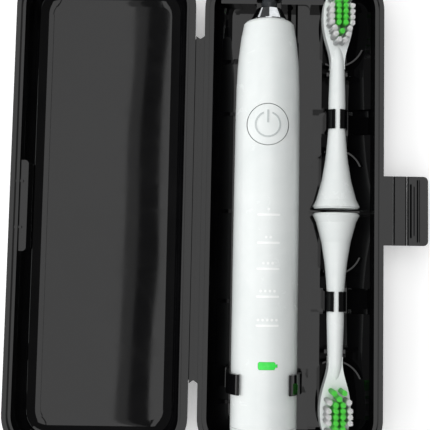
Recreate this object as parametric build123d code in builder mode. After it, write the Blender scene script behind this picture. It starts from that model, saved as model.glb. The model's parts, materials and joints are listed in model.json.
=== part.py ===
"""Sonic toothbrush in an open travel case: two brush heads beside the handle, latch at the side.

The case lies open and flat. The length runs along Y, the lid is on the -X side and +Z is up.
Z = 0 is the surface the case lies on. All sizes are in millimetres.
"""

from build123d import *
import math
import os

os.makedirs("parts", exist_ok=True)

# ---- driving dimensions: case ----
HINGE_X = -9.6  # hinge centre line; it centres the open case and its latch on X = 0
STRIP_W = 3.9  # distance between the two fold lines of the hinge strip
HALF_W = 78.0  # width of each half at the rim
HALF_L = 209.0  # length of each half at the rim
DEPTH = 19.0  # height of each half
CORNER_R = 17.0
EDGE_R = 9.0  # rounding along the outer bottom edges
DRAFT = 3.0  # draft of the outer walls, degrees
INNER_DRAFT = 5.0
INNER_EDGE_R = 8.0
FLOOR_T = 2.0
RIM_W = 3.95  # whole width of the rim: land, groove and inner lip
LAND_W = 1.93
GROOVE_W = 1.28
GROOVE_D = 1.6
FOLD_DROP = 1.9  # fold lines lie this far under the rim, so the closed halves stay 0.1 apart
STRIP_L = 149.0
STRIP_Y = 0.8
STRIP_T = 0.65
STRIP_NOTCH = 1.3
FOLD_GAP = 0.1

BASE_X0 = HINGE_X + STRIP_W / 2
BASE_X1 = BASE_X0 + HALF_W
BASE_XC = (BASE_X0 + BASE_X1) / 2
LID_X1 = HINGE_X - STRIP_W / 2
LID_X0 = LID_X1 - HALF_W
LID_XC = (LID_X0 + LID_X1) / 2

# ---- driving dimensions: latch ----
LATCH_Y = 0.3
LATCH_W = 29.6
LATCH_TOP = 18.8
LATCH_T = 1.4
TAB_L = 4.1
SPINE_L = 5.9
FLAP_L = 9.1
RIDGE_X = 4.8  # hook ridge on the flap, from the second fold line
RIDGE_H = 1.0
RIDGE_L = 26.6
FLAP_GROOVES = ((0.0, LATCH_W + 2.0, 1.5, 0.7), (1.6, 23.0, 0.8, 0.6), (3.0, 21.0, 0.45, 0.4))
CATCH_DEPTH = 9.95  # groove in the lid wall that takes the ridge, under the lid rim

# ---- driving dimensions: handle ----
HANDLE_X = HINGE_X + 29.8
HANDLE_Z = 17.4
BODY_R = 14.0
WALL = 1.7
HANDLE_TOP = 82.0
HANDLE_BOTTOM = -95.5
CAP_L = 5.0
BUTTON_Y = 35.2
BUTTON_R = 8.6
BUTTON_GAP = 0.3
BUTTON_TRAVEL = 0.4
MARK_Y = (-1.5, -13.1, -23.8, -35.2, -47.0)
LAMP_Y = -64.4
MARK_X = 0.9  # marks and lamp sit a little to the right of the middle
SHAFT_R = 1.9
SHAFT_TIP = 98.5
SHAFT_SHOULDER = 91.7  # the free end starts here, a little thinner than the part in the bearings
JOURNAL_R = 2.25
NECK_CUT_R = 1.5  # narrow relief groove between the two diameters
BARREL = (  # outline of the barrel: position along the handle, radius
    (82.0, 8.2), (81.2, 10.0), (80.2, 10.9), (78.6, 11.15), (74.2, 12.0), (69.9, 12.5),
    (65.6, 12.95), (61.3, 13.3), (52.6, 13.65), (39.5, 13.85), (5.0, 13.97), (-10.0, BODY_R),
)

# ---- driving dimensions: brush heads ----
HEAD_X = HINGE_X + 60.0
HEAD_Z = 14.2
HEAD_GAP = 0.9  # from the middle of the case to each head's base
HEAD_L = 96.5
HEAD_ROLL = 7.0  # each head lies turned about its own axis, bristles towards +X
NECK_R = 3.75
CONE = (  # outline of cone and neck: distance from the base, radius
    (0.0, 9.3), (0.9, 10.15), (4.0, 8.65), (8.0, 7.55), (12.5, 6.35), (16.5, 5.7), (21.0, 4.95),
    (27.0, 4.3), (34.0, NECK_R), (46.0, NECK_R - 0.02), (52.0, 3.55), (60.0, 3.3), (64.5, 3.1),
    (67.0, 2.7), (69.2, 2.2), (70.9, 1.65),
)
PLATE = ((61.0, 3.1), (66.0, 3.2), (70.0, 4.1), (74.0, 5.3), (79.0, 6.35), (84.0, 6.65),
         (89.0, 6.2), (93.5, 4.4))
PLATE_LOW = -2.9
PLATE_HIGH = 1.7
TUFT_R = 1.2
TUFT_L = 10.0

# ---- driving dimensions: tray and clips ----
TRAY_Z0 = FLOOR_T + 0.05
TRAY_TOP = 12.0
TRAY_T = 1.6
SHELF_Y = 91.3
SHELF_X0 = HINGE_X + 8.6
SHELF_X1 = HINGE_X + 54.0
WALL_TOP = 9.8  # thin walls round the ends of the pockets
POCKET_R = 12.1
POCKET_Y = 76.3
CONE_POCKET_R = 11.5
CONE_POCKET_Y = 15.6
CLIP_L = 8.4
BAY_LOW_X = HINGE_X + 65.3  # beside the neck clips the slope starts here, clear of their arms
BAY_RIGHT = (16.0, 8.9)  # run and rise of the bay's sloping side towards the latch
BAY_LEFT = (6.4, 9.95)
BAY_SPANS = ((-89.0, -44.2), (-33.2, 33.9), (45.3, 89.0))  # full slopes, between the neck clips
HEAD_CLIP_Y = (39.7, -38.6)
HANDLE_CLIP_Y = -72.5
NECK_CLIP_RI = 3.95
NECK_CLIP_T = 0.7
HANDLE_CLIP_RI = 14.3
HANDLE_CLIP_T = 1.8


def save(part, name):
    """Label a finished piece and write it as its own STEP file."""
    part.label = name
    export_step(part, f"parts/{name}.step")


def handle_plane(y):
    """A plane across the handle at position y; local Y points down, local X along world X."""
    return Plane(origin=(HANDLE_X, y, HANDLE_Z), x_dir=(1, 0, 0), z_dir=(0, 1, 0))


HANDLE_AXIS = Axis((HANDLE_X, 0, HANDLE_Z), (0, 1, 0))
HANDLE_FLAT = Plane(origin=(HANDLE_X, 0, HANDLE_Z), x_dir=(1, 0, 0), z_dir=(0, 0, 1))


def ring(radius, bore, y0, length):
    """A plain ring or disc on the handle's axis, from y0 towards +Y."""
    with BuildPart() as made:
        with BuildSketch(Plane(origin=(HANDLE_X, y0, HANDLE_Z), x_dir=(0, 0, 1), z_dir=(0, 1, 0))):
            Circle(radius)
            if bore:
                Circle(bore, mode=Mode.SUBTRACT)
        extrude(amount=length)
    return made.part


def rim_plane(x_centre):
    """The rim of one half, looking down into it."""
    return Plane(origin=(x_centre, 0, DEPTH), x_dir=(1, 0, 0), z_dir=(0, 0, -1))


def hollow_shape(x_centre, shrink):
    """The hollow of one half, pulled in by shrink on every side."""
    margin = RIM_W + shrink
    with BuildPart() as hollow:
        with BuildSketch(rim_plane(x_centre)):
            RectangleRounded(HALF_W - 2 * margin, HALF_L - 2 * margin, CORNER_R - margin)
        extrude(amount=DEPTH - FLOOR_T - shrink, taper=INNER_DRAFT)
        fillet(hollow.faces().sort_by(Axis.Z)[0].edges(), INNER_EDGE_R)
    return hollow.part


def half_shell(x_centre):
    """One half of the case: a drafted tray with a land, a groove and an inner lip on its rim."""
    rim = rim_plane(x_centre)
    with BuildPart() as shell:
        with BuildSketch(rim):
            RectangleRounded(HALF_W, HALF_L, CORNER_R)
        extrude(amount=DEPTH, taper=DRAFT)
        fillet(shell.faces().sort_by(Axis.Z)[0].edges(), EDGE_R)
    with BuildPart() as half:
        add(shell.part)
        add(hollow_shape(x_centre, 0.0), mode=Mode.SUBTRACT)
        outer = LAND_W
        inner = LAND_W + GROOVE_W
        with BuildSketch(rim):
            RectangleRounded(HALF_W - 2 * outer, HALF_L - 2 * outer, CORNER_R - outer)
            RectangleRounded(
                HALF_W - 2 * inner, HALF_L - 2 * inner, CORNER_R - inner, mode=Mode.SUBTRACT
            )
        extrude(amount=GROOVE_D, mode=Mode.SUBTRACT)
    return half.part


def make_base():
    """Base half with the fixed latch tab and the seats that locate the tray."""
    with BuildPart() as case_base:
        add(half_shell(BASE_XC))
        with BuildSketch(Plane.XY.offset(LATCH_TOP - LATCH_T)):
            with Locations((BASE_X1 + TAB_L / 2 - 0.5, LATCH_Y)):
                Rectangle(TAB_L + 1.0 - 2 * FOLD_GAP, LATCH_W)
        extrude(amount=LATCH_T)
        gusset_y = (LATCH_Y - LATCH_W / 2 + 1.5, LATCH_Y + LATCH_W / 2 - 1.5)
        for y in gusset_y:
            with BuildSketch(Plane(origin=(BASE_X1, y + 0.6, 0), x_dir=(1, 0, 0), z_dir=(0, -1, 0))):
                with BuildLine():
                    Polyline((-0.6, 17.5), (3.2, 17.5), (-0.6, 13.0), close=True)
                make_face()
            extrude(amount=1.2)
    save(case_base.part, "case_base")


def make_lid():
    """Lid half with the outer catch groove for the latch and its thickened wall inside."""
    with BuildPart() as case_lid:
        add(half_shell(LID_XC))
        with BuildSketch(Plane.XY.offset(5.0)):
            with Locations((LID_X0 + RIM_W + 0.2, LATCH_Y)):
                RectangleRounded(6.4, 39.0, 1.7)
        extrude(amount=DEPTH - 1.5 - 5.0)
        # two small ribs tie the thickened wall to the rim
        with BuildSketch(Plane.XY.offset(DEPTH - 1.5)):
            for y in (10.7, -9.0):
                with Locations((LID_X0 + RIM_W - 0.2, y)):
                    Rectangle(3.2, 0.9)
        extrude(amount=0.9)
        groove_z = DEPTH - CATCH_DEPTH
        with BuildSketch(Plane.XY.offset(groove_z - 1.1)):
            with Locations((LID_X0, LATCH_Y)):
                Rectangle(2 * 1.9, LATCH_W + 1.0)
        extrude(amount=2.2, mode=Mode.SUBTRACT)
    save(case_lid.part, "case_lid")


def make_hinge_strip():
    """Thin strip between the halves, grooved along its middle."""
    width = STRIP_W - 2 * FOLD_GAP
    top = DEPTH - FOLD_DROP - 0.05
    with BuildPart() as hinge_strip:
        with BuildSketch(Plane.XY.offset(top - STRIP_T)):
            with Locations((HINGE_X, STRIP_Y)):
                Rectangle(width, STRIP_L)
        extrude(amount=STRIP_T)
        with BuildSketch(Plane.XY.offset(top - 0.2)):
            with Locations((HINGE_X, STRIP_Y)):
                Rectangle(0.6, STRIP_L - 8.0)
        extrude(amount=0.2, mode=Mode.SUBTRACT)
        # V notches at both ends, where the fold lines run out
        with BuildSketch(Plane.XY.offset(top - STRIP_T)):
            for end in (1, -1):
                y_end = STRIP_Y + end * STRIP_L / 2
                with BuildLine():
                    Polyline((HINGE_X - width / 2, y_end + end), (HINGE_X - width / 2, y_end),
                             (HINGE_X, y_end - end * STRIP_NOTCH), (HINGE_X + width / 2, y_end),
                             (HINGE_X + width / 2, y_end + end), close=True)
                make_face()
        extrude(amount=STRIP_T, mode=Mode.SUBTRACT)
    save(hinge_strip.part, "hinge_strip")


def v_groove(x, y_length, width, depth, top):
    """A V-shaped cutter along Y whose mouth, of that width, lies at height top."""
    half = width / 2
    with BuildPart() as cutter:
        with BuildSketch(Plane(origin=(x, LATCH_Y + y_length / 2, top), x_dir=(1, 0, 0),
                               z_dir=(0, -1, 0))):
            with BuildLine():
                Polyline((-half, 0.01), (half, 0.01), (0, -depth), close=True)
            make_face()
        extrude(amount=y_length)
    return cutter.part


def make_latch():
    """Latch spine between the two folds, and the flap with its hook ridge and finger grooves."""
    low = LATCH_TOP - 0.05 - LATCH_T
    fold_1 = BASE_X1 + TAB_L
    fold_2 = fold_1 + SPINE_L
    with BuildPart() as latch_spine:
        with BuildSketch(Plane.XY.offset(low)):
            with Locations((fold_1 + SPINE_L / 2, LATCH_Y)):
                Rectangle(SPINE_L - 2 * FOLD_GAP, LATCH_W)
        extrude(amount=LATCH_T)
        with BuildSketch(Plane.XY.offset(low)):
            with Locations((fold_1 + SPINE_L / 2, LATCH_Y)):
                with GridLocations(0, 7.0, 1, 4):
                    SlotOverall(3.6, 1.2)
        extrude(amount=0.5, mode=Mode.SUBTRACT)
        for fold in (fold_1, fold_2):
            add(v_groove(fold, LATCH_W + 2.0, 1.5, 0.7, low + LATCH_T), mode=Mode.SUBTRACT)
    save(latch_spine.part, "latch_spine")

    with BuildPart() as latch_flap:
        with BuildSketch(Plane.XY.offset(low)):
            with Locations((fold_2 + FLAP_L / 2, LATCH_Y)):
                Rectangle(FLAP_L - 2 * FOLD_GAP, LATCH_W)
        extrude(amount=LATCH_T)
        fillet(latch_flap.edges().filter_by(Axis.Z).group_by(Axis.X)[-1], 2.1)
        # hook ridge with two sloping faces
        with BuildSketch(Plane(origin=(fold_2 + RIDGE_X, LATCH_Y + RIDGE_L / 2, low + LATCH_T),
                               x_dir=(1, 0, 0), z_dir=(0, -1, 0))):
            with BuildLine():
                Polyline((-0.75, -0.2), (0.75, -0.2), (0.2, RIDGE_H), (-0.2, RIDGE_H), close=True)
            make_face()
        extrude(amount=RIDGE_L)
        for x, length, width, depth in FLAP_GROOVES:
            add(v_groove(fold_2 + x, length, width, depth, low + LATCH_T), mode=Mode.SUBTRACT)
    save(latch_flap.part, "latch_flap")


def platform(inset):
    """Plan of the platform between handle and heads, as sketch items pulled in by inset."""
    left = HANDLE_X + 8.5
    right = HINGE_X + 53.4
    with Locations(((left + right) / 2, 0)):
        RectangleRounded(right - left - 2 * inset, 186.0 - 2 * inset, 2.0 - inset / 2)
    with Locations((HEAD_X, POCKET_Y + 6), (HEAD_X, -POCKET_Y - 6)):
        SlotCenterToCenter(12.0, 2 * POCKET_R + 2 * inset, rotation=90, mode=Mode.SUBTRACT)
    with Locations((HEAD_X, 0)):
        SlotCenterToCenter(2 * CONE_POCKET_Y, 2 * CONE_POCKET_R + 2 * inset, rotation=90,
                           mode=Mode.SUBTRACT)
    with Locations((HANDLE_X + HANDLE_CLIP_RI + 1.0, HANDLE_CLIP_Y)):
        Rectangle(7.4 + 2 * inset, CLIP_L + 1.6 + 2 * inset, mode=Mode.SUBTRACT)
    for y in HEAD_CLIP_Y:
        with Locations((HEAD_X - NECK_CLIP_RI - 3.0, y)):
            Rectangle(7.0 + 2 * inset, CLIP_L + 1.2 + 2 * inset, mode=Mode.SUBTRACT)


def make_tray():
    """Inner tray: hollow platform between handle and heads, pocket walls, saddles and end shelf."""
    with BuildPart() as case_tray:
        with BuildSketch(Plane.XY.offset(TRAY_Z0)):
            platform(0.0)
        extrude(amount=TRAY_TOP - TRAY_Z0)
        with BuildSketch(Plane.XY.offset(TRAY_Z0)):
            platform(TRAY_T)
        extrude(amount=TRAY_TOP - TRAY_T - TRAY_Z0, mode=Mode.SUBTRACT)
        # the handle lies in a round trough cut along the platform
        with BuildSketch(Plane(origin=(HANDLE_X, -100, HANDLE_Z), x_dir=(1, 0, 0), z_dir=(0, 1, 0))):
            Circle(BODY_R + 0.35)
        extrude(amount=200.0, mode=Mode.SUBTRACT)
        # saddles under the handle
        for y in (-84.0, -40.0, 0.0, 44.0, 68.0):
            with BuildSketch(Plane(origin=(HANDLE_X, y - 0.8, 0), x_dir=(1, 0, 0), z_dir=(0, 1, 0))):
                with Locations((0, -(TRAY_Z0 + 8.0) / 2)):
                    Rectangle(30.0, 8.0 - TRAY_Z0)
            extrude(amount=1.6)
        with BuildSketch(Plane(origin=(HANDLE_X, -100, HANDLE_Z), x_dir=(1, 0, 0), z_dir=(0, 1, 0))):
            Circle(BODY_R + 0.35)
        extrude(amount=200.0, mode=Mode.SUBTRACT)
        # floor sheet that carries everything
        with BuildSketch(Plane.XY.offset(TRAY_Z0)):
            with Locations((BASE_XC, 0)):
                RectangleRounded(50.0, 187.0, 8.0)
        extrude(amount=0.9)
        # the bay of the heads has sloping sides, low along the heads' centre line
        bay = ((BAY_LOW_X, 1, (-100.0, 100.0)), (HEAD_X, 1, None), (HEAD_X, -1, None))
        for low_x, side, span in bay:
            rise = BAY_RIGHT if side > 0 else BAY_LEFT
            for y0, y1 in (span,) if span else BAY_SPANS:
                with BuildSketch(Plane(origin=(low_x, y0, TRAY_Z0), x_dir=(1, 0, 0),
                                       z_dir=(0, -1, 0))):
                    with BuildLine():
                        Polyline((0, 0), (side * rise[0], 0), (side * rise[0], rise[1]), close=True)
                    make_face()
                extrude(amount=-(y1 - y0))
        # shelf around the drive shaft at the far end, and a shallow recess beside the nose
        with BuildSketch(Plane.XY.offset(TRAY_Z0)):
            with Locations(((SHELF_X0 + SHELF_X1) / 2, SHELF_Y + 4.0)):
                Rectangle(SHELF_X1 - SHELF_X0, 8.0)
        extrude(amount=TRAY_TOP - TRAY_Z0)
        with BuildSketch(Plane.XY.offset(TRAY_Z0)):
            with Locations(((SHELF_X0 + SHELF_X1) / 2, SHELF_Y + 4.0 + TRAY_T)):
                Rectangle(SHELF_X1 - SHELF_X0 - 2 * TRAY_T, 8.0)
        extrude(amount=TRAY_TOP - TRAY_T - TRAY_Z0, mode=Mode.SUBTRACT)
        with BuildSketch(handle_plane(SHELF_Y - 1.0)):
            Circle(5.5)
            with Locations((0, 10.0)):
                Rectangle(11.0, 20.0)
        extrude(amount=14.0, mode=Mode.SUBTRACT)
        with BuildSketch(Plane.XY.offset(TRAY_TOP - 1.0)):
            with Locations((HINGE_X + 42.0, SHELF_Y - 8.6)):
                RectangleRounded(11.8, 17.2, 2.4)
        extrude(amount=1.0, mode=Mode.SUBTRACT)
        # thin walls round the ends of the pockets
        arcs = [(side * CONE_POCKET_Y, CONE_POCKET_R, side) for side in (1, -1)]
        arcs += [(side * POCKET_Y, POCKET_R, -side) for side in (1, -1)]
        for y, radius, toward in arcs:
            with BuildSketch(Plane.XY.offset(TRAY_Z0)):
                with Locations((HEAD_X, y)):
                    Circle(radius + 0.35)
                    Circle(radius - 0.35, mode=Mode.SUBTRACT)
                with Locations((HEAD_X, y + toward * 0.87 * radius)):
                    Rectangle(3 * radius, radius, mode=Mode.INTERSECT)
            extrude(amount=WALL_TOP - TRAY_Z0)
        # divider between the two head bases
        with BuildSketch(Plane.XY.offset(TRAY_Z0)):
            with Locations((HEAD_X, 0)):
                Rectangle(22.0, 0.9)
        extrude(amount=6.0)
        # the heads lie in shallow saddles and clear of the walls
        for side in (1, -1):
            for y, r in ((side * 27.4, 4.75), (side * 60.0, 3.7)):
                with BuildSketch(Plane.XY.offset(TRAY_Z0)):
                    with Locations((HEAD_X, y)):
                        Rectangle(9.0, 1.6)
                extrude(amount=HEAD_Z - 1.5 - TRAY_Z0)
        # blocks under the feet of the handle's spring arms
        with BuildSketch(Plane.XY.offset(TRAY_Z0)):
            for side in (1, -1):
                with Locations((HANDLE_X + side * (HANDLE_CLIP_RI + 0.9), HANDLE_CLIP_Y)):
                    Rectangle(3.0, CLIP_L)
        extrude(amount=3.7)
        for side in (1, -1):
            profile = [(0.0, -0.5)] + [(r + 0.35, s) for s, r in CONE] + [(0.0, 68.0)]
            level = Plane(origin=(HEAD_X, side * HEAD_GAP, HEAD_Z), x_dir=(side, 0, 0),
                          z_dir=(0, 0, 1))
            with BuildSketch(level):
                with BuildLine():
                    Polyline(*profile, close=True)
                make_face()
            revolve(axis=Axis((HEAD_X, 0, HEAD_Z), (0, 1, 0)), mode=Mode.SUBTRACT)
        add(hollow_shape(BASE_XC, 0.1), mode=Mode.INTERSECT)
    save(case_tray.part, "case_tray")


def clip_arm(x, y, z, inner_r, thick, side, tip_half, foot_z):
    """One spring arm: a leg up from the tray, then an arc over the clipped piece."""
    outer_r = inner_r + thick
    across = Plane(origin=(x, y + side * CLIP_L / 2, z), x_dir=(side, 0, 0), z_dir=(0, -side, 0))
    with BuildPart() as arm:
        with BuildSketch(across):
            Circle(outer_r)
            Circle(inner_r, mode=Mode.SUBTRACT)
            with Locations((tip_half + outer_r / 2, outer_r / 2)):
                Rectangle(outer_r, outer_r, mode=Mode.INTERSECT)
            with Locations((inner_r + thick / 2, (foot_z - z) / 2)):
                Rectangle(thick, z - foot_z)
        extrude(amount=CLIP_L)
        fillet(arm.faces().filter_by(Axis.X).sort_by(Axis.Z)[-1].edges().filter_by(Axis.Y),
               thick * 0.3)
    return arm.part


def make_clips():
    """Two spring arms hold the handle and two hold each brush head's neck."""
    foot = TRAY_Z0 + 1.2
    for side, word in ((-1, "left"), (1, "right")):
        arm = clip_arm(HANDLE_X, HANDLE_CLIP_Y, HANDLE_Z, HANDLE_CLIP_RI, HANDLE_CLIP_T, side,
                       10.2, foot + 3.0)
        save(arm, f"handle_clip_{word}")
        for y, which in zip(HEAD_CLIP_Y, ("upper", "lower")):
            arm = clip_arm(HEAD_X, y, HEAD_Z, NECK_CLIP_RI, NECK_CLIP_T, side, 1.0, foot)
            save(arm, f"{which}_clip_{word}")


def barrel_outline(shrink=0.0, start=HANDLE_BOTTOM + CAP_L):
    """Half outline of the barrel, for revolving, pulled in by shrink."""
    points = [(BODY_R - shrink, start)]
    points += [(r - shrink, y) for y, r in reversed(BARREL)]
    return points


def make_housing():
    """White outer housing of the handle: tapered barrel with a button hole and a lamp window."""
    outer = barrel_outline()
    inner = [(r, y) for r, y in barrel_outline(WALL) if y < 79.0]
    with BuildPart() as handle_housing:
        with BuildSketch(HANDLE_FLAT):
            with BuildLine():
                Polyline((0, HANDLE_BOTTOM + CAP_L), *outer, (0, HANDLE_TOP), close=True)
            make_face()
            with BuildLine():
                Polyline((0, HANDLE_BOTTOM + CAP_L - 1), (BODY_R - WALL, HANDLE_BOTTOM + CAP_L - 1),
                         *inner[1:], (0, 78.6), close=True)
            make_face(mode=Mode.SUBTRACT)
            with Locations((0, 80)):
                Rectangle(2 * 6.6, 6.0, mode=Mode.SUBTRACT)
        revolve(axis=HANDLE_AXIS)
        with BuildSketch(Plane(origin=(HANDLE_X, BUTTON_Y, HANDLE_Z + 5), z_dir=(0, 0, 1))):
            Circle(BUTTON_R + BUTTON_GAP)
        extrude(amount=12.0, mode=Mode.SUBTRACT)
        with BuildSketch(Plane(origin=(HANDLE_X + MARK_X, LAMP_Y, HANDLE_Z + 5), z_dir=(0, 0, 1))):
            RectangleRounded(7.2, 3.3, 0.8)
            with Locations((3.9, 0)):
                Rectangle(1.2, 1.4)
        extrude(amount=12.0, mode=Mode.SUBTRACT)
    save(handle_housing.part, "handle_housing")


def on_barrel(sketch_maker, r_low, r_high):
    """A raised or inset piece that follows the round top of the barrel."""
    with BuildPart() as made:
        with BuildSketch(Plane(origin=(HANDLE_X, 0, HANDLE_Z + 4), z_dir=(0, 0, 1))):
            sketch_maker()
        extrude(amount=14.0)
        with BuildSketch(Plane(origin=(HANDLE_X, -100, HANDLE_Z), x_dir=(1, 0, 0),
                               z_dir=(0, 1, 0))):
            Circle(30.0)
            Circle(r_high, mode=Mode.SUBTRACT)
        extrude(amount=200.0, mode=Mode.SUBTRACT)
        with BuildSketch(Plane(origin=(HANDLE_X, -100, HANDLE_Z), x_dir=(1, 0, 0),
                               z_dir=(0, 1, 0))):
            Circle(r_low)
        extrude(amount=200.0, mode=Mode.SUBTRACT)
    return made.part


def make_button():
    """Soft power button with a stem, and the raised power symbol on it."""
    def pad():
        with Locations((0, BUTTON_Y)):
            Circle(BUTTON_R)
    with BuildPart() as power_button:
        add(on_barrel(pad, 12.3, 13.75))
        with BuildSketch(Plane(origin=(HANDLE_X, BUTTON_Y, HANDLE_Z + 11.0), z_dir=(0, 0, 1))):
            Circle(1.6)
        extrude(amount=1.8)
    save(power_button.part, "power_button")

    def symbol():
        with Locations((0, BUTTON_Y)):
            Circle(5.5)
            Circle(4.8, mode=Mode.SUBTRACT)
        with Locations((0, BUTTON_Y + 4.2)):
            Rectangle(3.6, 4.4, mode=Mode.SUBTRACT)
        with Locations((0, BUTTON_Y + 3.4)):
            Rectangle(0.8, 5.4)
    save(on_barrel(symbol, 13.75, 13.98), "power_symbol")


def make_marks():
    """Five raised mode marks, one to five dots over a bar, and the battery lamp window."""
    def marks():
        for count, y in enumerate(MARK_Y, start=1):
            with Locations((MARK_X, y - 1.1)):
                SlotOverall(9.5, 0.9)
            with Locations((MARK_X, y + 1.2)):
                with GridLocations(1.9, 0, count, 1):
                    Circle(0.55)
    save(on_barrel(marks, BODY_R, BODY_R + 0.13), "mode_marks")

    def window():
        with Locations((MARK_X, LAMP_Y)):
            RectangleRounded(7.0, 3.1, 0.7)
        with Locations((MARK_X + 3.85, LAMP_Y)):
            Rectangle(1.1, 1.2)
    save(on_barrel(window, BODY_R - WALL + 0.1, BODY_R - 0.02), "battery_window")


def make_nose():
    """Nose insert, rubber seal and the steel drive shaft that carries a brush head."""
    with BuildPart() as nose_insert:
        with BuildSketch(HANDLE_FLAT):
            with BuildLine():
                Polyline((3.2, 74.0), (9.3, 74.0), (9.3, 76.9), (6.55, 76.9), (6.55, 82.05),
                         (7.9, 82.05), (7.9, 82.5), (5.5, 87.2), (5.1, 87.5), (3.2, 87.5),
                         close=True)
            make_face()
        revolve(axis=HANDLE_AXIS)
    save(nose_insert.part, "nose_insert")

    with BuildPart() as shaft_seal:
        with BuildSketch(HANDLE_FLAT):
            with BuildLine():
                Polyline((2.4, 80.0), (3.15, 80.0), (3.15, 87.55), (3.4, 87.6), (3.4, 90.0),
                         (3.1, 91.2), (2.4, 91.6), close=True)
            make_face()
        revolve(axis=HANDLE_AXIS)
    save(shaft_seal.part, "shaft_seal")

    with BuildPart() as drive_shaft:
        add(ring(JOURNAL_R, 0, 24.0, SHAFT_SHOULDER - 24.0))
        add(ring(NECK_CUT_R, 0, SHAFT_SHOULDER, 0.6))
        add(ring(SHAFT_R, 0, SHAFT_SHOULDER + 0.6, SHAFT_TIP - SHAFT_SHOULDER - 0.6))
        chamfer(drive_shaft.edges().filter_by(GeomType.CIRCLE).sort_by(Axis.Y)[-1], 0.4)
        with BuildSketch(handle_plane(SHAFT_SHOULDER + 0.8)):
            with Locations((0, -SHAFT_R - 0.65)):
                Rectangle(5.0, 2.0)
        extrude(amount=1.6, mode=Mode.SUBTRACT)
    save(drive_shaft.part, "drive_shaft")

    magnet = ring(4.2, JOURNAL_R + 0.02, 38.0, 18.0)
    save(magnet, "rotor_magnet")


def make_motor():
    """Sonic motor round the shaft: can, coil, bearings and end plate."""
    save(ring(8.6, 7.6, 32.0, 32.0), "motor_can")
    save(ring(7.5, 5.0, 38.5, 17.0), "motor_coil")
    save(ring(7.55, 4.1, 60.6, 3.2), "front_plate")
    save(ring(4.05, JOURNAL_R + 0.05, 60.7, 3.0), "front_bearing")
    save(ring(7.55, 3.1, 32.2, 2.8), "rear_plate")
    save(ring(3.05, JOURNAL_R + 0.05, 32.3, 2.6), "rear_bearing")


def make_core():
    """Chassis with the battery, circuit board, switch, lamps and charging coil."""
    inner = BODY_R - WALL - 0.25
    with BuildPart() as chassis:
        add(ring(inner, 7.6, -84.0, 2.4))
        add(ring(inner, 7.6, -22.0, 2.0))
        add(ring(inner, 8.75, 28.0, 2.4))
        add(ring(inner - 0.9, 8.75, 58.0, 2.4))
        for side in (-1, 1):
            with BuildSketch(Plane.XY.offset(HANDLE_Z - 1.5)):
                with Locations((HANDLE_X + side * (inner - 1.6), -12.0)):
                    Rectangle(1.6, 144.0)
            extrude(amount=3.0)
        with BuildSketch(Plane.XY.offset(HANDLE_Z + 7.2)):
            with Locations((HANDLE_X, 0)):
                Rectangle(14.8, 300.0)
        extrude(amount=8.0, mode=Mode.SUBTRACT)
    save(chassis.part, "chassis")

    with BuildPart() as battery_cell:
        add(ring(7.1, 0, -76.0, 49.0))
        add(ring(2.6, 0, -27.0, 0.8))
        fillet(battery_cell.edges().filter_by(GeomType.CIRCLE).group_by(Axis.Y)[0], 0.6)
    save(battery_cell.part, "battery_cell")
    save(ring(2.4, 0, -26.15, 0.4), "battery_contact_plus")
    save(ring(5.5, 4.2, -76.6, 0.5), "battery_contact_minus")

    with BuildPart() as circuit_board:
        with BuildSketch(Plane.XY.offset(HANDLE_Z + 8.7)):
            with Locations((HANDLE_X, -14.0)):
                Rectangle(13.0, 134.0)
        extrude(amount=1.0)
        with BuildSketch(Plane.XY.offset(HANDLE_Z + 9.7)):
            with Locations((HANDLE_X, 22.0)):
                Rectangle(5.0, 5.0)
            with Locations((HANDLE_X + 3.5, 12.0)):
                Rectangle(2.6, 4.0)
            with Locations((HANDLE_X - 3.5, -54.0)):
                Rectangle(3.0, 3.0)
        extrude(amount=0.9)
    save(circuit_board.part, "circuit_board")

    with BuildPart() as power_switch:
        with BuildSketch(Plane.XY.offset(HANDLE_Z + 9.75)):
            with Locations((HANDLE_X, BUTTON_Y)):
                RectangleRounded(4.2, 4.2, 0.3)
        extrude(amount=0.7)
    save(power_switch.part, "power_switch")

    with BuildPart() as mode_lamps:
        with BuildSketch(Plane.XY.offset(HANDLE_Z + 9.75)):
            for y in (*MARK_Y, LAMP_Y):
                with Locations((HANDLE_X, y)):
                    Rectangle(1.6, 0.8)
        extrude(amount=0.6)
    save(mode_lamps.part, "mode_lamps")

    save(ring(5.6, 4.4, HANDLE_BOTTOM + 4.6, 8.0), "charge_coil")
    with BuildPart() as end_cap:
        with BuildSketch(HANDLE_FLAT):
            with BuildLine():
                Polyline((0, HANDLE_BOTTOM), (11.4, HANDLE_BOTTOM), (12.9, HANDLE_BOTTOM + 0.8),
                         (13.8, HANDLE_BOTTOM + 2.4), (BODY_R, HANDLE_BOTTOM + 4.2),
                         (BODY_R, HANDLE_BOTTOM + CAP_L - 0.15),
                         (BODY_R - WALL - 0.1, HANDLE_BOTTOM + CAP_L - 0.15),
                         (BODY_R - WALL - 0.1, HANDLE_BOTTOM + 11.0),
                         (10.6, HANDLE_BOTTOM + 11.0), (10.6, HANDLE_BOTTOM + 3.2),
                         (4.3, HANDLE_BOTTOM + 3.2), (4.3, HANDLE_BOTTOM + 13.0),
                         (0, HANDLE_BOTTOM + 13.0), close=True)
            make_face()
        revolve(axis=HANDLE_AXIS)
        with BuildSketch(Plane(origin=(HANDLE_X, HANDLE_BOTTOM, HANDLE_Z), x_dir=(1, 0, 0),
                               z_dir=(0, 1, 0))):
            Circle(3.2)
        extrude(amount=11.5, mode=Mode.SUBTRACT)
        with BuildSketch(Plane(origin=(HANDLE_X, HANDLE_BOTTOM + 8.1, HANDLE_Z), x_dir=(1, 0, 0),
                               z_dir=(0, 1, 0))):
            Circle(20.0)
            Circle(BODY_R - WALL - 1.0, mode=Mode.SUBTRACT)
        extrude(amount=1.4, mode=Mode.SUBTRACT)
    save(end_cap.part, "end_cap")
    save(ring(BODY_R - WALL - 0.05, BODY_R - WALL - 0.98, HANDLE_BOTTOM + 8.15, 1.3), "cap_seal")


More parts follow.
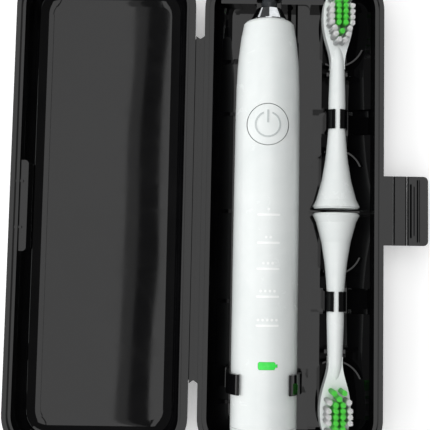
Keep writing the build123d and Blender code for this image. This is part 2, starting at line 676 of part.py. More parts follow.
def head_frame(side, s=0.0):
    """Plane across a head at distance s from its base; local Y points along the bristles."""
    roll = math.radians(HEAD_ROLL)
    return Plane(
        origin=(HEAD_X, side * (HEAD_GAP + s), HEAD_Z),
        x_dir=(-side * math.cos(roll), 0, side * math.sin(roll)),
        z_dir=(0, side, 0),
    )


def head_side(side):
    """Plane through a head's axis that faces along the bristles; local Y runs to the tip."""
    roll = math.radians(HEAD_ROLL)
    x_dir = Vector(-side * math.cos(roll), 0, side * math.sin(roll))
    return Plane(
        origin=(HEAD_X, side * HEAD_GAP, HEAD_Z),
        x_dir=x_dir,
        z_dir=x_dir.cross(Vector(0, side, 0)),
    )


def tuft_spots(side):
    """Distances along the head and across it of the green and the white tufts."""
    columns = (-1.5, 1.5)
    rows = [79.8 + 2.45 * i for i in range(5)]
    green = [(s, x) for s in rows for x in columns]
    white = [(s, x) for s in rows[:4] for x in (-4.45, 4.45)]
    white += [(93.6, -2.7), (93.6, 2.7), (91.3, -4.0), (91.3, 4.0), (94.4, 0.0)]
    if side > 0:
        green += [(77.2, 0.0), (74.8, 0.0)]
        white += [(77.3, -3.3), (77.3, 3.3), (74.7, -2.7), (74.7, 2.7), (72.3, -1.3), (72.3, 1.3)]
    else:
        green += [(77.4, 0.0), (75.0, -2.1), (75.0, 2.1)]
        white += [(77.6, -3.6), (77.6, 3.6)]
    return green, white


def make_head(side, which):
    """One brush head: shell, base ring, spring sleeve for the shaft, green and white tufts."""
    outline = [(r, s) for s, r in CONE]
    level = head_side(side)
    axis = Axis((HEAD_X, 0, HEAD_Z), (0, 1, 0))
    up = level.z_dir
    with BuildPart() as head_shell:
        with BuildSketch(level):
            with BuildLine():
                Polyline((0, 0), *outline, (0, outline[-1][1]), close=True)
            make_face()
        revolve(axis=axis)
        fillet(head_shell.edges().filter_by(GeomType.CIRCLE).sort_by(Axis.Y)[-1 if side < 0 else 0],
               0.3)
        sign = 1 if up.Z > 0 else -1
        with BuildSketch(level.offset(sign * PLATE_LOW)):
            with BuildLine():
                right = [(x, s) for s, x in PLATE]
                left = [(-x, s) for x, s in reversed(right)]
                Spline(*right, (0, HEAD_L), *left)
                Line((-PLATE[0][1], PLATE[0][0]), (PLATE[0][1], PLATE[0][0]))
            make_face()
        extrude(amount=sign * (PLATE_HIGH - PLATE_LOW))
        with BuildSketch(head_frame(side, -0.1)):
            Circle(8.35)
        extrude(amount=1.9, mode=Mode.SUBTRACT)
        with BuildSketch(head_frame(side, 0.0)):
            Circle(3.0)
        extrude(amount=20.0, mode=Mode.SUBTRACT)
    save(head_shell.part, f"{which}_head_shell")

    with BuildPart() as ring_part:
        with BuildSketch(head_frame(side, 0.3)):
            Circle(8.3)
            Circle(3.0, mode=Mode.SUBTRACT)
        extrude(amount=1.4)
    save(ring_part.part, f"{which}_head_ring")
    with BuildPart() as sleeve:
        with BuildSketch(head_frame(side, 0.6)):
            Circle(2.95)
            Circle(SHAFT_R + 0.05, mode=Mode.SUBTRACT)
            with Locations((2.4, 0)):
                Rectangle(1.6, 0.7, mode=Mode.SUBTRACT)
        extrude(amount=18.4)
    save(sleeve.part, f"{which}_head_sleeve")

    green, white = tuft_spots(side)
    for spots, colour in ((green, "green"), (white, "white")):
        with BuildPart() as tufts:
            with BuildSketch(level.offset(sign * PLATE_HIGH)):
                for s, x in spots:
                    with Locations((x, s)):
                        Circle(TUFT_R)
            extrude(amount=sign * TUFT_L)
        save(tufts.part, f"{which}_tufts_{colour}")


make_base()
make_lid()
make_hinge_strip()
make_latch()
make_tray()
make_clips()
make_housing()
make_button()
make_marks()
make_nose()
make_motor()
make_core()
make_head(1, "upper")
make_head(-1, "lower")
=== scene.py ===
"""Sonic toothbrush in its open travel case: finishes for every CAD piece, bristle tufts and a studio.

Runs as a script in Blender 4.5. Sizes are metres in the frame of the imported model.
"""

import json
import math
import random

import bmesh
import bpy
from bpy.props import FloatProperty, FloatVectorProperty, IntProperty, PointerProperty
from mathutils import Matrix, Vector


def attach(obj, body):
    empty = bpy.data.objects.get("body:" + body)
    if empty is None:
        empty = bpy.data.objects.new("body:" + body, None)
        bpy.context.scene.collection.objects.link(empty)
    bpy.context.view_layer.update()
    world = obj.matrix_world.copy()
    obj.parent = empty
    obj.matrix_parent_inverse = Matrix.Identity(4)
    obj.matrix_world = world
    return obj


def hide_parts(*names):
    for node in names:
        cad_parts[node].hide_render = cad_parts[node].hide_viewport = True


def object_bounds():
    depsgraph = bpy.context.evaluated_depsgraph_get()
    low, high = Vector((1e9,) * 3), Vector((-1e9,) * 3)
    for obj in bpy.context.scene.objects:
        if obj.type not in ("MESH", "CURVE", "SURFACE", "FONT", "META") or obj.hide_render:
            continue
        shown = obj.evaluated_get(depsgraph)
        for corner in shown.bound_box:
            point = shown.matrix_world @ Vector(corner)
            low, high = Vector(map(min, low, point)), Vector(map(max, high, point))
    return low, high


bl_info = {
    "name": "Travel Case Toothbrush",
    "version": (1, 0, 0),
    "blender": (4, 5, 0),
    "location": "3D View > Sidebar > Toothbrush",
    "description": "Finishes, bristle tufts and studio for a sonic toothbrush in its travel case",
    "category": "Object",
}

MM = 0.001
TUFT_REACH = 1.1 * MM  # middle of a tuft to the axis of its outermost filament
FLOOR_HALF = 4.0  # half the side of the paper sweep
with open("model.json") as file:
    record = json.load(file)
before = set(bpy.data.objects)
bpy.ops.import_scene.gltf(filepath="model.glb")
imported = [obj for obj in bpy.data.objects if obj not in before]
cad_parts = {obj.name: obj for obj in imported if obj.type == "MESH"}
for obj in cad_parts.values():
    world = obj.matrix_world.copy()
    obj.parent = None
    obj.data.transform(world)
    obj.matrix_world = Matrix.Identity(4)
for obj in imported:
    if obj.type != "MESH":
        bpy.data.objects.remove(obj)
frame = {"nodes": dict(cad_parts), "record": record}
cad_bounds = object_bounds()
slot_nodes = {}
for subpart in frame["record"]["subparts"]:
    slot_nodes.setdefault(subpart["material_slot"], []).append(subpart["node"])


# ---- colour and nodes ----

def linear(hex_colour):
    """The linear RGBA of an sRGB hex colour."""
    channels = [int(hex_colour[i : i + 2], 16) / 255 for i in (1, 3, 5)]
    return [c / 12.92 if c <= 0.04045 else ((c + 0.055) / 1.055) ** 2.4 for c in channels] + [1.0]


def node(tree, kind, settings=None, links=None):
    """Adds a node, sets its properties or its inputs by name or number, and links its inputs."""
    added = tree.nodes.new(kind)
    for key, value in (settings or {}).items():
        if isinstance(key, str) and hasattr(added, key):
            setattr(added, key, value)
        else:
            added.inputs[key].default_value = value
    for key, source in (links or {}).items():
        tree.links.new(source, added.inputs[key])
    return added


def new_material(name):
    """An empty node material, its tree, its Principled shader and its Object coordinates."""
    material = bpy.data.materials.new(name)
    material.use_nodes = True
    tree = material.node_tree
    tree.nodes.clear()
    shader = node(tree, "ShaderNodeBsdfPrincipled")
    node(tree, "ShaderNodeOutputMaterial", links={"Surface": shader.outputs[0]})
    place = node(tree, "ShaderNodeTexCoord").outputs["Object"]
    return material, tree, shader, place


def noise(tree, place, size_mm, detail=3.0, roughness=0.55, distortion=0.0):
    """The grey value of a noise whose blobs are about size_mm across."""
    settings = {"Scale": 1 / (size_mm * MM), "Detail": detail, "Roughness": roughness,
                "Distortion": distortion}
    return node(tree, "ShaderNodeTexNoise", settings, {"Vector": place}).outputs["Fac"]


def ramp(tree, value, low, high, out_low, out_high):
    """A grey value stretched from low..high to out_low..out_high."""
    settings = {"clamp": True, "From Min": low, "From Max": high, "To Min": out_low, "To Max": out_high}
    return node(tree, "ShaderNodeMapRange", settings, {"Value": value}).outputs["Result"]


def blend_colours(tree, value, first, second):
    """first where value is 0, second where it is 1."""
    mix = node(tree, "ShaderNodeMix", {"data_type": "RGBA"}, {0: value})
    for socket, colour in ((6, first), (7, second)):
        if hasattr(colour, "is_linked"):
            tree.links.new(colour, mix.inputs[socket])
        else:
            mix.inputs[socket].default_value = colour
    return mix.outputs[2]


def bump(tree, height, depth_mm, strength=1.0, under=None):
    """A normal from a height of depth_mm."""
    links = {"Height": height}
    if under is not None:
        links["Normal"] = under
    settings = {"Distance": depth_mm * MM, "Strength": strength}
    return node(tree, "ShaderNodeBump", settings, links).outputs["Normal"]


# ---- settings a user may change ----

class CaseFinish(bpy.types.PropertyGroup):
    """Colour and gloss of the travel case."""

    black: FloatVectorProperty(
        name="Case black", description="Colour of the polypropylene halves, tray, strip and latch",
        subtype="COLOR", size=4, min=0, max=1, default=linear("#060607"))
    dust: FloatVectorProperty(
        name="Case haze", description="Greyer tone where the polish is handled",
        subtype="COLOR", size=4, min=0, max=1, default=linear("#0C0C0D"))
    gloss: FloatProperty(
        name="Case roughness", description="Lowest roughness of the polished plastic",
        subtype="FACTOR", min=0.02, max=0.8, default=0.03)


class BrushFinish(bpy.types.PropertyGroup):
    """Colours of the handle, its marks and the brush heads."""

    white: FloatVectorProperty(
        name="Shell white", description="Colour of the handle and head shells",
        subtype="COLOR", size=4, min=0, max=1, default=linear("#E9EDEC"))
    cool_white: FloatVectorProperty(
        name="Shell shade", description="Cooler tone of the shell's mottling",
        subtype="COLOR", size=4, min=0, max=1, default=linear("#E2E7E6"))
    marks: FloatVectorProperty(
        name="Mark grey", description="Colour of the raised marks and the power symbol",
        subtype="COLOR", size=4, min=0, max=1, default=linear("#BFC5C5"))
    lamp: FloatVectorProperty(
        name="Battery green", description="Colour of the lit battery window",
        subtype="COLOR", size=4, min=0, max=1, default=linear("#33D545"))


class TuftSettings(bpy.types.PropertyGroup):
    """Size, number and colour of the bristle filaments."""

    filament_radius: FloatProperty(
        name="Filament radius", description="Radius of one nylon filament",
        subtype="DISTANCE", unit="LENGTH", min=0.00004, max=0.0003, default=0.000115)
    filaments: IntProperty(
        name="Filaments", description="Filaments in each tuft", min=7, max=80, default=44)
    splay: FloatProperty(
        name="Splay", description="How much wider a tuft is at its tips than at its root",
        subtype="FACTOR", min=1.0, max=1.5, default=1.04)
    seed: IntProperty(name="Seed", description="Seed of the filaments' small differences", default=7)
    green: FloatVectorProperty(
        name="Green filament", description="Colour of the green tufts",
        subtype="COLOR", size=4, min=0, max=1, default=linear("#2BFF22"))
    white: FloatVectorProperty(
        name="White filament", description="Colour of the white tufts",
        subtype="COLOR", size=4, min=0, max=1, default=linear("#FBFCFC"))


class StudioSettings(bpy.types.PropertyGroup):
    """Camera, floor and lights."""

    camera_place: FloatVectorProperty(
        name="Camera place", description="Where the camera stands",
        subtype="TRANSLATION", unit="LENGTH", size=3, default=(0.01539, -0.01796, 0.42402))
    camera_turn: FloatVectorProperty(
        name="Camera turn", description="Camera rotation, XYZ Euler",
        subtype="EULER", unit="ROTATION", size=3, default=(0.09094, -0.00334, 0.01558))
    lens: FloatProperty(
        name="Lens", description="Focal length on a 36 mm sensor, in millimetres",
        subtype="DISTANCE_CAMERA", unit="CAMERA", min=20, max=300, default=79.43)
    framing: FloatVectorProperty(
        name="Framing", description="Sideways and upward shift of the frame, as the crop needs",
        size=2, min=-0.3, max=0.3, default=(-0.0990, -0.1160))
    floor: FloatVectorProperty(
        name="Floor", description="Colour of the plain floor",
        subtype="COLOR", size=4, min=0, max=1, default=linear("#FAFAFA"))
    sky: FloatProperty(
        name="Fill light", description="Strength of the even light from all round",
        min=0, max=5, default=0.09)
    overhead: FloatProperty(
        name="Overhead power", description="Power of the soft panel above",
        subtype="POWER", unit="POWER", min=0, max=500, default=3.9)
    fill: FloatProperty(
        name="Fill power", description="Power of the wide panel that lights without reflecting",
        subtype="POWER", unit="POWER", min=0, max=500, default=23.5)
    side: FloatProperty(
        name="Side power", description="Power of the long panel on the lid's side",
        subtype="POWER", unit="POWER", min=0, max=500, default=4.0)


# ---- finishes ----

def moulded_plastic(name, light, dark, mottle_mm, polish, haze, grain_mm, grain_um, peel_um, ior):
    """Injection moulded plastic: faint flow mottling, handled polish, fine grain over soft sink."""
    material, tree, shader, place = new_material(name)
    mottle = ramp(tree, noise(tree, place, mottle_mm, 4, 0.6, 0.4), 0.35, 0.7, 0, 1)
    shader.inputs["IOR"].default_value = ior
    tree.links.new(blend_colours(tree, mottle, light, dark), shader.inputs["Base Color"])
    smear = noise(tree, place, mottle_mm * 0.6, 6, 0.65, 1.2)
    tree.links.new(ramp(tree, smear, 0.3, 0.75, polish, haze), shader.inputs["Roughness"])
    peel = bump(tree, noise(tree, place, 5.0, 1), peel_um * 0.001)
    grain = bump(tree, noise(tree, place, grain_mm, 2), grain_um * 0.001, 1.0, peel)
    tree.links.new(grain, shader.inputs["Normal"])
    return material


def worked_metal(name, light, dark, along, line_mm, line_um, polish, haze):
    """Metal with tool lines that run across the given axis, and tarnish between them."""
    material, tree, shader, place = new_material(name)
    shader.inputs["Metallic"].default_value = 1.0
    stretch = [1.0, 1.0, 1.0]
    stretch[along] = 12.0
    lined = node(tree, "ShaderNodeMapping", {"Scale": stretch}, {"Vector": place}).outputs[0]
    lines = noise(tree, lined, line_mm * 12, 3, 0.7)
    tarnish = ramp(tree, noise(tree, place, 2.5, 4), 0.35, 0.7, 0, 1)
    tree.links.new(blend_colours(tree, tarnish, light, dark), shader.inputs["Base Color"])
    tree.links.new(ramp(tree, lines, 0.3, 0.7, polish, haze), shader.inputs["Roughness"])
    tree.links.new(bump(tree, lines, line_um * 0.001), shader.inputs["Normal"])
    return material


def black_polypropylene(finish):
    """Black polypropylene, moulded in a polished tool.

    To the eye: a deep black with mirror-like soft reflections that bend a little over the
    shallow sink of the wide floors, hazier where hands have rubbed it.
    """
    material, tree, shader, place = new_material("Polypropylene black, polished mould")
    shader.inputs["IOR"].default_value = 1.5
    haze = ramp(tree, noise(tree, place, 34.0, 5, 0.6, 0.6), 0.38, 0.72, 0, 1)
    tree.links.new(blend_colours(tree, haze, finish.black, finish.dust), shader.inputs["Base Color"])
    smear = noise(tree, place, 21.0, 6, 0.62, 1.5)
    rough = ramp(tree, smear, 0.35, 0.75, finish.gloss, finish.gloss + 0.03)
    # Scuffs: a thin streaky noise, 0.5 mm wide, that breaks the polish in patches.
    streaks = node(tree, "ShaderNodeMapping", {"Scale": (1.0, 0.08, 1.0), "Rotation": (0, 0, 0.35)},
                   {"Vector": place}).outputs[0]
    scuff = ramp(tree, noise(tree, streaks, 0.9, 5, 0.75), 0.68, 0.82, 0.0, 0.06)
    total = node(tree, "ShaderNodeMath", {"operation": "ADD"}, {0: rough, 1: scuff}).outputs[0]
    tree.links.new(total, shader.inputs["Roughness"])
    sink = bump(tree, noise(tree, place, 55.0, 0.5), 0.12)
    # Grain of the tool's polish: 0.4 mm, drawn coarser than real so that it just shows.
    grain = bump(tree, noise(tree, place, 0.4, 2), 0.0004, 1.0, sink)
    tree.links.new(grain, shader.inputs["Normal"])
    return material


def white_abs(finish):
    """White ABS, moulded and polished: an even cool white with a broad soft highlight."""
    return moulded_plastic("ABS white, polished mould", finish.white, finish.cool_white, 18.0,
                           0.2, 0.3, 0.35, 0.8, 2.5, 1.53)


def white_silicone(finish):
    """White silicone skin over the button: the same white, but matt and slightly velvety."""
    material = moulded_plastic("Silicone white, matt moulded skin", finish.white,
                               finish.cool_white, 9.0, 0.42, 0.52, 0.22, 2.0, 1.5, 1.42)
    shader = next(n for n in material.node_tree.nodes if n.type == "BSDF_PRINCIPLED")
    shader.inputs["Sheen Weight"].default_value = 0.12
    shader.inputs["Sheen Roughness"].default_value = 0.4
    return material


def grey_print(finish):
    """Pad printed ink on a raised mark: flat pale grey with small gaps in the ink film."""
    material, tree, shader, place = new_material("Pad print ink, pale grey")
    shader.inputs["IOR"].default_value = 1.5
    film = ramp(tree, noise(tree, place, 0.5, 4, 0.7), 0.3, 0.46, 0.35, 0)
    tree.links.new(blend_colours(tree, film, finish.marks, finish.white), shader.inputs["Base Color"])
    tree.links.new(ramp(tree, film, 0, 0.35, 0.48, 0.3), shader.inputs["Roughness"])
    tree.links.new(bump(tree, noise(tree, place, 0.3, 2), 0.004), shader.inputs["Normal"])
    return material


def white_print(finish):
    """Thick white print: a gloss film that stands a little off the shell and catches the light."""
    material, tree, shader, place = new_material("Screen print ink, gloss white")
    shader.inputs["IOR"].default_value = 1.52
    film = ramp(tree, noise(tree, place, 0.6, 4, 0.7), 0.3, 0.5, 0.5, 0)
    tree.links.new(blend_colours(tree, film, linear("#FBFDFC"), finish.white), shader.inputs["Base Color"])
    tree.links.new(ramp(tree, film, 0, 0.5, 0.14, 0.3), shader.inputs["Roughness"])
    tree.links.new(bump(tree, noise(tree, place, 0.4, 2), 0.006), shader.inputs["Normal"])
    return material


def lit_window(finish):
    """Clear green acrylic over a lamp: saturated green that glows, a little brighter in random patches."""
    material, tree, shader, place = new_material("Acrylic green, lit from behind")
    shader.inputs["IOR"].default_value = 1.49
    shader.inputs["Roughness"].default_value = 0.22
    cloud = ramp(tree, noise(tree, place, 2.4, 2), 0.3, 0.7, 0.0, 1.0)
    tone = blend_colours(tree, cloud, finish.lamp, linear("#48E45A"))
    tree.links.new(tone, shader.inputs["Base Color"])
    tree.links.new(tone, shader.inputs["Emission Color"])
    shader.inputs["Emission Strength"].default_value = 0.12
    return material


def turned_steel():
    """Stainless steel, turned and ground: bright, with fine rings round the shaft."""
    return worked_metal("Stainless steel, turned and ground", linear("#DADCDD"), linear("#B9BCBE"),
                        1, 0.12, 0.8, 0.12, 0.24)


def chrome_nose():
    """Chromed plastic nose: near-mirror with the faint orange peel of plated plastic."""
    material, tree, shader, place = new_material("Chrome plate on ABS")
    shader.inputs["Metallic"].default_value = 1.0
    cloud = ramp(tree, noise(tree, place, 4.0, 4), 0.35, 0.7, 0, 1)
    tree.links.new(blend_colours(tree, cloud, linear("#D5D8DA"), linear("#BFC3C6")),
                   shader.inputs["Base Color"])
    tree.links.new(ramp(tree, noise(tree, place, 2.0, 5), 0.35, 0.7, 0.06, 0.14),
                   shader.inputs["Roughness"])
    tree.links.new(bump(tree, noise(tree, place, 1.3, 1), 0.0015), shader.inputs["Normal"])
    return material


def seal_rubber():
    """Moulded silicone seal: dark grey, satin, with a fine dusty bloom."""
    return moulded_plastic("Silicone rubber, dark grey moulded", linear("#26282A"),
                           linear("#34373A"), 5.0, 0.3, 0.45, 0.25, 2.0, 1.0, 1.42)


def inner_finishes():
    """Finishes of the sealed-in works, by record slot."""
    return {
        # Zinc plated drawn can: satin blue-grey with draw lines along the can.
        "can_steel": worked_metal("Steel can, drawn and zinc plated", linear("#A9AEB2"),
                                  linear("#8E9499"), 0, 0.3, 1.5, 0.25, 0.4),
        # Enamelled winding: warm copper under amber lacquer.
        "copper": worked_metal("Copper wire, enamelled", linear("#C8733F"), linear("#A8562A"),
                               1, 0.2, 14.0, 0.18, 0.32),
        # Nickel plated magnet: cool grey, soft corners, faint grind.
        "magnet": worked_metal("Sintered magnet, nickel plated", linear("#8B8D90"),
                               linear("#75777B"), 1, 0.25, 2.0, 0.22, 0.38),
        # Porous bronze: brown-gold with oily pores.
        "bronze": worked_metal("Sintered bronze, oil filled", linear("#A8824A"),
                               linear("#7E5F33"), 1, 0.15, 6.0, 0.3, 0.5),
        # Nickel plated contact: warm silver with roll lines.
        "nickel": worked_metal("Spring steel, nickel plated", linear("#D2CDC2"),
                               linear("#B4AFA5"), 0, 0.2, 1.0, 0.14, 0.26),
        # Glass filled nylon: matt grey with visible short fibres.
        "chassis_plastic": moulded_plastic("Nylon, glass filled grey", linear("#6A6D70"),
                                           linear("#585B5E"), 3.0, 0.45, 0.62, 0.5, 9.0, 2.0, 1.53),
        # Shrink sleeve: glossy blue film with small wrinkles.
        "cell_wrap": moulded_plastic("PVC shrink sleeve, blue", linear("#2B5F9E"),
                                     linear("#244F86"), 6.0, 0.18, 0.28, 1.5, 12.0, 10.0, 1.52),
        # Solder mask: green lacquer, slightly uneven over the tracks.
        "board": moulded_plastic("Epoxy glass board, green solder mask", linear("#14603A"),
                                 linear("#0E4A2C"), 2.0, 0.16, 0.3, 0.6, 6.0, 3.0, 1.55),
    }


def give(node_names, material):
    """Puts one material on CAD nodes."""
    for name in node_names:
        mesh = frame["nodes"][name].data
        if not mesh.materials:
            mesh.materials.append(material)
        for i in range(len(mesh.materials)):
            mesh.materials[i] = material


class TOOTHBRUSH_OT_finish_case(bpy.types.Operator):
    """Finishes the case halves, tray, hinge strip, latch and clips"""

    bl_idname = "toothbrush.finish_case"
    bl_label = "Finish travel case"

    def execute(self, context):
        give(slot_nodes["case_plastic"], black_polypropylene(context.scene.toothbrush_case))
        return {"FINISHED"}


class TOOTHBRUSH_OT_finish_shells(bpy.types.Operator):
    """Finishes the handle and head shells, button, marks and lit window"""

    bl_idname = "toothbrush.finish_shells"
    bl_label = "Finish handle and heads"

    def execute(self, context):
        finish = context.scene.toothbrush_brush
        give(slot_nodes["white_plastic"], white_abs(finish))
        give(slot_nodes["white_soft"], white_silicone(finish))
        give(slot_nodes["grey_print"], grey_print(finish))
        give(slot_nodes["white_print"], white_print(finish))
        give(slot_nodes["lamp"], lit_window(finish))
        return {"FINISHED"}


class TOOTHBRUSH_OT_finish_works(bpy.types.Operator):
    """Finishes the nose, shaft, seals and everything sealed inside the handle"""

    bl_idname = "toothbrush.finish_works"
    bl_label = "Finish drive and inner parts"

    def execute(self, context):
        give(slot_nodes["shaft_steel"], turned_steel())
        give(slot_nodes["seal_rubber"], seal_rubber())
        for slot, material in inner_finishes().items():
            give(slot_nodes[slot], material)
        give(["nose_insert"], chrome_nose())
        return {"FINISHED"}


# ---- bristles ----

def nylon(name, colour, tip_colour):
    """Drawn nylon filament: glossy thread, paler where light comes through the ground tip."""
    material, tree, shader, place = new_material(name)
    shader.inputs["IOR"].default_value = 1.53
    shader.inputs["Roughness"].default_value = 0.33
    shader.inputs["Subsurface Weight"].default_value = 0.15
    shader.inputs["Subsurface Radius"].default_value = (0.0006, 0.0006, 0.0006)
    shader.inputs["Subsurface Scale"].default_value = 1.0
    tone = node(tree, "ShaderNodeAttribute", {"attribute_name": "filament_tone"}).outputs["Fac"]
    dull = [c * 0.84 for c in colour[:3]] + [1.0]
    body = blend_colours(tree, tone, dull, list(colour))
    tip = node(tree, "ShaderNodeAttribute", {"attribute_name": "filament_tip"}).outputs["Fac"]
    tree.links.new(blend_colours(tree, tip, body, tip_colour), shader.inputs["Base Color"])
    tree.links.new(bump(tree, noise(tree, place, 0.15, 1), 0.002), shader.inputs["Normal"])
    return material


def tuft_axes(cad_node):
    """Root and tip centre of each tuft of a CAD node, from the loose cylinders in its mesh."""
    work = bmesh.new()
    work.from_mesh(frame["nodes"][cad_node].data)
    bmesh.ops.remove_doubles(work, verts=work.verts[:], dist=0.00001)
    seen, axes = set(), []
    for start in work.verts:
        if start in seen:
            continue
        island, edge = [], [start]
        seen.add(start)
        while edge:
            vertex = edge.pop()
            island.append(vertex.co.copy())
            for link in vertex.link_edges:
                other = link.other_vert(vertex)
                if other not in seen:
                    seen.add(other)
                    edge.append(other)
        middle = sum(island, Vector()) / len(island)
        low = [c for c in island if c.z < middle.z]
        high = [c for c in island if c.z >= middle.z]
        axes.append((sum(low, Vector()) / len(low), sum(high, Vector()) / len(high)))
    work.free()
    return sorted(axes, key=lambda pair: (round(pair[0].y, 5), round(pair[0].x, 5)))


def make_tufts(name, cad_node, body, material, trims, settings):
    """One piece with every filament of a CAD node's tufts."""
    chance = random.Random(settings.seed)
    mesh_work = bmesh.new()
    tone = mesh_work.verts.layers.float.new("filament_tone")
    tip = mesh_work.verts.layers.float.new("filament_tip")
    radius = settings.filament_radius
    golden = math.pi * (3 - math.sqrt(5))
    for number, (root, top) in enumerate(tuft_axes(cad_node)):
        along = (top - root).normalized()
        length = (top - root).length * trims(number)
        turn = along.to_track_quat("Z", "Y").to_matrix().to_4x4()
        spin = chance.uniform(0, math.tau)
        for i in range(settings.filaments):
            reach = TUFT_REACH * math.sqrt((i + 0.5) / settings.filaments)
            angle = spin + i * golden
            foot = Vector((reach * math.cos(angle), reach * math.sin(angle), 0))
            lean = foot * (settings.splay - 1) + Vector(
                (chance.gauss(0, 0.05), chance.gauss(0, 0.05), 0)) * MM
            # Ground ends: the outer filaments of a tuft are a little shorter than the middle ones.
            high = length - 0.32 * MM * (reach / TUFT_REACH) ** 2 - chance.uniform(0, 0.12) * MM
            made = bmesh.ops.create_cone(mesh_work, cap_ends=True, segments=5, radius1=radius,
                                         radius2=radius, depth=high,
                                         matrix=Matrix.Translation((0, 0, high / 2)))["verts"]
            crown = [f for f in {f for v in made for f in v.link_faces}
                     if all(v.co.z > high * 0.99 for v in f.verts)]
            inset = bmesh.ops.inset_region(mesh_work, faces=crown, thickness=radius * 0.42,
                                           depth=radius * 0.75, use_boundary=True)
            made = set(made) | {v for f in inset["faces"] for v in f.verts} | {
                v for f in crown for v in f.verts}
            shade = chance.uniform(0.2, 1.0)
            for vertex in made:
                share = vertex.co.z / high
                vertex[tone] = shade
                vertex[tip] = 1.0 if share > 0.97 else 0.0
                vertex.co += foot + lean * share ** 1.6
            bmesh.ops.transform(mesh_work, matrix=Matrix.Translation(root) @ turn, verts=list(made))
    mesh = bpy.data.meshes.new(name)
    mesh_work.to_mesh(mesh)
    mesh_work.free()
    mesh.polygons.foreach_set("use_smooth", [True] * len(mesh.polygons))
    mesh.materials.append(material)
    piece = bpy.data.objects.new(name, mesh)
    bpy.context.scene.collection.objects.link(piece)
    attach(piece, body)
    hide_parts(cad_node)
    return piece


class TOOTHBRUSH_OT_make_tufts(bpy.types.Operator):
    """Models the green and the white tufts of both brush heads, filament by filament"""

    bl_idname = "toothbrush.make_tufts"
    bl_label = "Make bristle tufts"

    def execute(self, context):
        settings = context.scene.toothbrush_tufts
        green = nylon("Nylon filament green, drawn", settings.green, linear("#7CFF6E"))
        white = nylon("Nylon filament white, drawn", settings.white, linear("#FFFFFF"))
        for head in ("upper", "lower"):
            make_tufts(f"{head}_bristles_green", f"{head}_tufts_green", f"{head}_head",
                       green, lambda n: 0.965, settings)
            make_tufts(f"{head}_bristles_white", f"{head}_tufts_white", f"{head}_head",
                       white, lambda n: (0.99, 0.94)[n % 2], settings)
        return {"FINISHED"}


# ---- hinge webs ----

class TOOTHBRUSH_OT_make_fold_webs(bpy.types.Operator):
    """Models the thin webs that join the hinge strip to the lid and to the base"""

    bl_idname = "toothbrush.make_fold_webs"
    bl_label = "Make fold webs"

    def execute(self, context):
        web_radius, margin = 0.16 * MM, 1.5 * MM
        strip = frame["nodes"]["hinge_strip"]
        ends = [vertex.co.y for vertex in strip.data.vertices]
        low, high = min(ends) + margin, max(ends) - margin
        for name, fold in (("lid_fold_web", "hinge_fold_lid"), ("base_fold_web", "hinge_fold_base")):
            joint = next(j for j in frame["record"]["behaviour"]["joints"] if j["name"] == fold)
            work = bmesh.new()
            bmesh.ops.create_cone(work, cap_ends=True, segments=12, radius1=web_radius,
                                  radius2=web_radius, depth=high - low)
            rims = [edge for edge in work.edges
                    if abs(edge.verts[0].co.z - edge.verts[1].co.z) < web_radius]
            bmesh.ops.bevel(work, geom=rims, offset=web_radius * 0.4, affect="EDGES", segments=2,
                            profile=0.5, material=-1)
            bmesh.ops.rotate(work, verts=work.verts[:], matrix=Matrix.Rotation(math.pi / 2, 3, "X"))
            x, _, z = joint["pos_m"]
            bmesh.ops.translate(work, verts=work.verts[:], vec=(x, (low + high) / 2, z))
            mesh = bpy.data.meshes.new(name)
            work.to_mesh(mesh)
            work.free()
            mesh.polygons.foreach_set("use_smooth", [True] * len(mesh.polygons))
            mesh.materials.append(strip.data.materials[0])
            web = bpy.data.objects.new(name, mesh)
            context.scene.collection.objects.link(web)
            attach(web, "strip")
        return {"FINISHED"}


# ---- studio ----

def studio_panel(name, kind_size, place, aim, power, colour="#FFFFFF"):
    """A soft rectangular panel light that faces a point."""
    lamp = bpy.data.lights.new(name, "AREA")
    lamp.shape = "RECTANGLE"
    lamp.size, lamp.size_y = kind_size
    lamp.energy = power
    lamp.color = linear(colour)[:3]
    light = bpy.data.objects.new(name, lamp)
    light.location = place
    light.rotation_euler = (Vector(aim) - Vector(place)).to_track_quat("-Z", "Y").to_euler()
    light.visible_camera = False
    bpy.context.scene.collection.objects.link(light)
    return light


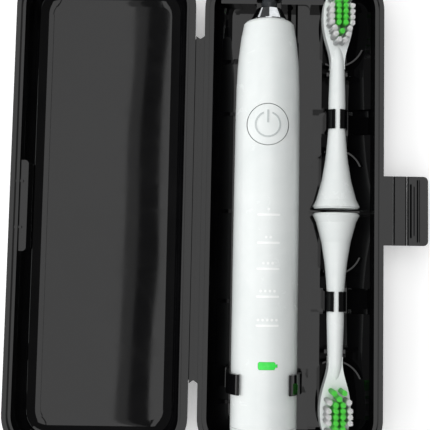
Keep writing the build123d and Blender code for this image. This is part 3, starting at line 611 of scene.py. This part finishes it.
class TOOTHBRUSH_OT_make_studio(bpy.types.Operator):
    """Makes the plain floor, the soft lights and the camera"""

    bl_idname = "toothbrush.make_studio"
    bl_label = "Make studio"

    def execute(self, context):
        scene, settings = context.scene, context.scene.toothbrush_studio
        work = bmesh.new()
        bmesh.ops.create_grid(work, x_segments=2, y_segments=2, size=FLOOR_HALF)
        bmesh.ops.translate(work, verts=work.verts[:], vec=(0, 0, cad_bounds[0][2] - 0.0001))
        mesh = bpy.data.meshes.new("studio_floor")
        work.to_mesh(mesh)
        work.free()
        material, tree, shader, place = new_material("Paper sweep, plain pale")
        # Coated paper: almost even white with a faint 60 mm cloudiness.
        cloud = ramp(tree, noise(tree, place, 60.0, 2), 0.3, 0.7, 0, 1)
        tree.links.new(blend_colours(tree, cloud, settings.floor, linear("#F6F6F6")),
                       shader.inputs["Base Color"])
        shader.inputs["Roughness"].default_value = 0.9
        shader.inputs["Emission Color"].default_value = linear("#FFFFFF")
        shader.inputs["Emission Strength"].default_value = 0.3
        mesh.materials.append(material)
        floor = bpy.data.objects.new("studio_floor", mesh)
        scene.collection.objects.link(floor)

        world = bpy.data.worlds.new("studio_world")
        world.use_nodes = True
        world.node_tree.nodes["Background"].inputs[0].default_value = linear("#FFFFFF")
        world.node_tree.nodes["Background"].inputs[1].default_value = settings.sky
        scene.world = world

        # Overhead panels just wide enough to fill the reflections of the level faces, so that
        # only those go grey. The dark gap between them is the dark band in the lid's polish.
        height, length = 1.0, 0.86
        lid_edge, dim_edge, base_edge = -0.178, -0.159, -0.128
        spans = (("panel_lid", -0.38, lid_edge, 1.0), ("panel_dim", lid_edge, dim_edge, 0.36),
                 ("panel_base", base_edge, 0.3, 1.0))
        for name, low, high, share in spans:
            width = high - low
            middle = ((low + high) / 2, 0.045, height)
            light = studio_panel(name, (width, length), middle, (middle[0], middle[1], 0),
                                 settings.overhead * width * length * share)
            light.rotation_euler.z = math.radians(-1.2)
        fill = studio_panel("panel_fill", (2.6, 2.6), (-0.35, 0.1, 1.3), (0, 0, 0), settings.fill)
        fill.visible_glossy = False
        side = studio_panel("panel_side", (0.3, 1.0), (-0.8, 0.05, 0.35), (0.02, 0, 0.02), settings.side)
        side.visible_glossy = False
        # A low card beyond the shaft's end puts the bright facet on the chromed nose.
        nose = studio_panel("panel_nose", (0.6, 0.42), (0.33, 0.88, 0.22), (0.02, 0.085, 0.02),
                            settings.overhead * 0.25)
        nose.visible_diffuse = False

        camera = bpy.data.objects.new("camera", bpy.data.cameras.new("camera"))
        camera.data.lens = settings.lens
        camera.data.sensor_width = 36.0
        camera.data.shift_x, camera.data.shift_y = settings.framing
        camera.data.clip_start = 0.01
        camera.location = settings.camera_place
        camera.rotation_euler = settings.camera_turn
        scene.collection.objects.link(camera)
        scene.camera = camera
        scene.view_settings.view_transform = "Standard"
        return {"FINISHED"}


class TOOTHBRUSH_PT_panel(bpy.types.Panel):
    """Lists the steps that finish the model"""

    bl_idname = "TOOTHBRUSH_PT_panel"
    bl_label = "Travel case toothbrush"
    bl_space_type = "VIEW_3D"
    bl_region_type = "UI"
    bl_category = "Toothbrush"

    def draw(self, context):
        for step in STEPS:
            self.layout.operator(step.bl_idname)


STEPS = (
    TOOTHBRUSH_OT_finish_case,
    TOOTHBRUSH_OT_finish_shells,
    TOOTHBRUSH_OT_finish_works,
    TOOTHBRUSH_OT_make_tufts,
    TOOTHBRUSH_OT_make_fold_webs,
    TOOTHBRUSH_OT_make_studio,
)
GROUPS = {
    "toothbrush_case": CaseFinish,
    "toothbrush_brush": BrushFinish,
    "toothbrush_tufts": TuftSettings,
    "toothbrush_studio": StudioSettings,
}
CLASSES = (*GROUPS.values(), *STEPS, TOOTHBRUSH_PT_panel)


def register():
    for item in CLASSES:
        bpy.utils.register_class(item)
    for name, group in GROUPS.items():
        setattr(bpy.types.Scene, name, PointerProperty(type=group))


def unregister():
    for name in GROUPS:
        delattr(bpy.types.Scene, name)
    for item in reversed(CLASSES):
        bpy.utils.unregister_class(item)


def main():
    """Registers the add-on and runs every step."""
    register()
    bpy.ops.toothbrush.finish_case()
    bpy.ops.toothbrush.finish_shells()
    bpy.ops.toothbrush.finish_works()
    bpy.ops.toothbrush.make_tufts()
    bpy.ops.toothbrush.make_fold_webs()
    bpy.ops.toothbrush.make_studio()


if __name__ == "__main__":
    main()
